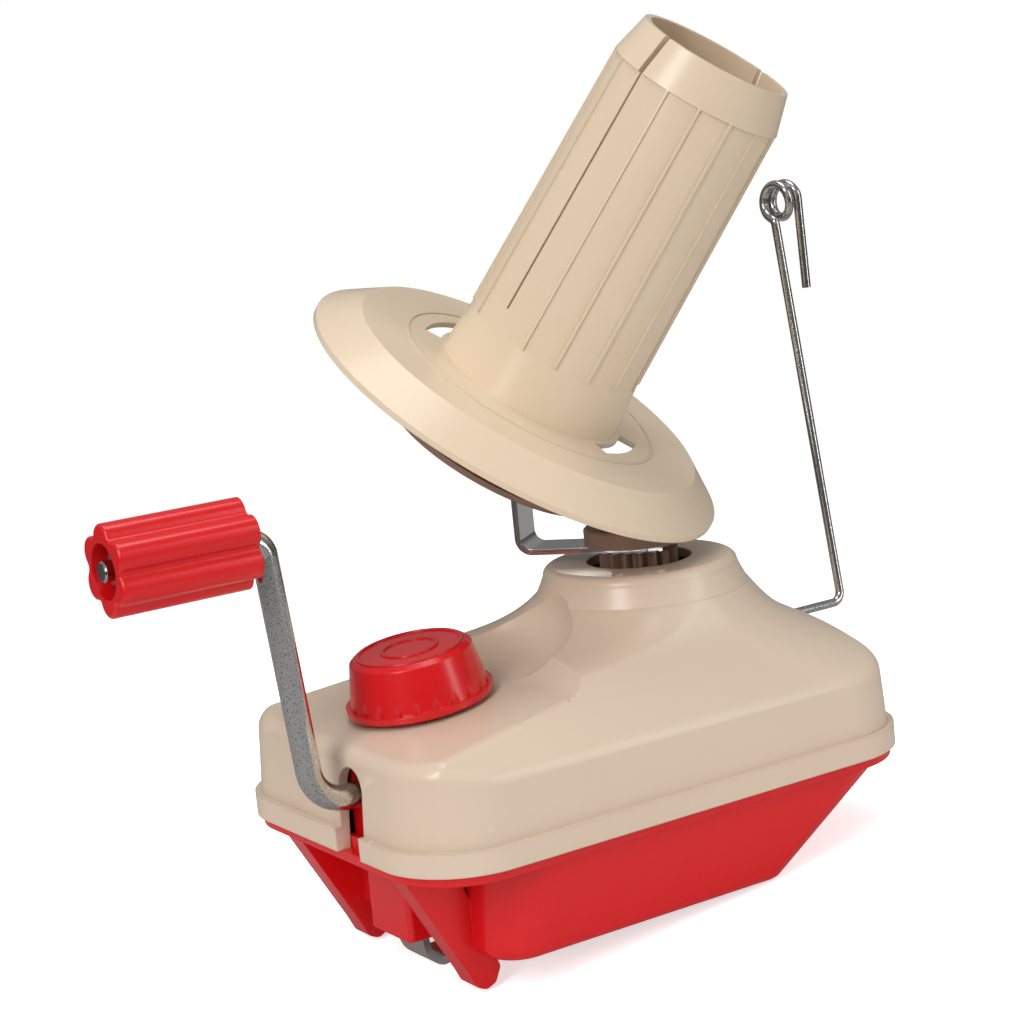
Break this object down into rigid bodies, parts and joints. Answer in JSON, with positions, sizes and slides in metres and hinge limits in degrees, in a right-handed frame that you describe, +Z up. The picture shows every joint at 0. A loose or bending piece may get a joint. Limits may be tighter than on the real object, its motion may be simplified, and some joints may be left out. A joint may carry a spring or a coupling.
{
  "type": "yarn cone winder",
  "caption": "Hand-cranked, table-clamped yarn winder with a tilted ribbed cone on a wide flange, a geared housing, a clamp knob and jaw, and a wire yarn guide with an eyelet.",
  "frame": {"origin": "on the upright spindle axis, in the plane of the tub's flat bottom, which is the table top", "axes": "+X along the housing from the crank end to the yarn guide, +Z up along the spindle, +Y to the side away from the crank"},
  "size_m": [0.2324, 0.1224, 0.2183],
  "materials": {
    "housing": "moulded, satin",
    "cone": "moulded, soft gloss",
    "red": "moulded, glossy",
    "gear": "moulded, satin",
    "rod": "zinc-nickel plated, lightly speckled",
    "strip": "plated strip",
    "steel": "zinc-plated",
    "bush": "sintered bronze"
  },
  "bodies": {
    "housing": {"upper_shell": "housing", "lower_shell": "red", "case_screws": "steel", "spindle_post": "steel", "thrust_washer": "steel", "sun_gear": "gear", "sun_screw": "steel", "crank_bush_front": "bush", "crank_bush_rear": "bush"},
    "crank": {"crank_rod": "rod", "crank_gear": "gear", "crank_clip": "steel", "grip_washer": "steel", "grip_nut": "steel"},
    "grip": {"grip": "red"},
    "rotor": {"drive_sleeve": "gear", "rotor_bracket": "strip", "cone_pin": "steel", "pin_washer": "steel", "pin_clip": "steel"},
    "cone": {"winding_cone": "cone", "cone_gear": "gear", "cone_screws": "steel"},
    "clamp_knob": {"clamp_knob": "red", "clamp_screw": "steel"},
    "jaw": {"clamp_jaw": "strip", "clamp_nut": "steel"},
    "yarn_guide": {"yarn_guide": "rod", "guide_clip": "steel"}
  },
  "joints": [
    {"name": "crank_turn", "type": "hinge", "parent": "housing", "child": "crank", "pos_m": [-0.09, -0.012, 0.04], "axis": [1, 0, 0], "continuous": true},
    {"name": "grip_spin", "type": "hinge", "parent": "crank", "child": "grip", "pos_m": [-0.13, -0.012, 0.1026], "axis": [1, 0, 0], "continuous": true},
    {"name": "spindle_turn", "type": "hinge", "parent": "housing", "child": "rotor", "pos_m": [0, 0, 0.08], "axis": [0, 0, 1], "continuous": true},
    {"name": "cone_spin", "type": "hinge", "parent": "rotor", "child": "cone", "pos_m": [-0.01785, 0.02244, 0.11445], "axis": [0.3606, -0.4533, 0.8151], "continuous": true},
    {"name": "clamp_turn", "type": "hinge", "parent": "housing", "child": "clamp_knob", "pos_m": [-0.0668, 0, 0.0536], "axis": [-0.1201, 0, 0.9928], "range_deg": [0, 3600]},
    {"name": "jaw_slide", "type": "slide", "parent": "housing", "child": "jaw", "axis": [0.1201, 0, -0.9928], "range_m": [0, 0.025]},
    {"name": "guide_swing", "type": "hinge", "parent": "housing", "child": "yarn_guide", "pos_m": [0.06, 0.015, 0.0478], "axis": [1, 0, 0], "range_deg": [-90, 90]}
  ],
  "couplings": [
    {"joint": "spindle_turn", "follows": "crank_turn", "ratio": 2},
    {"joint": "cone_spin", "follows": "crank_turn", "ratio": 0.77778},
    {"joint": "jaw_slide", "follows": "clamp_turn", "m_per_rad": 0.00039789}
  ]
}
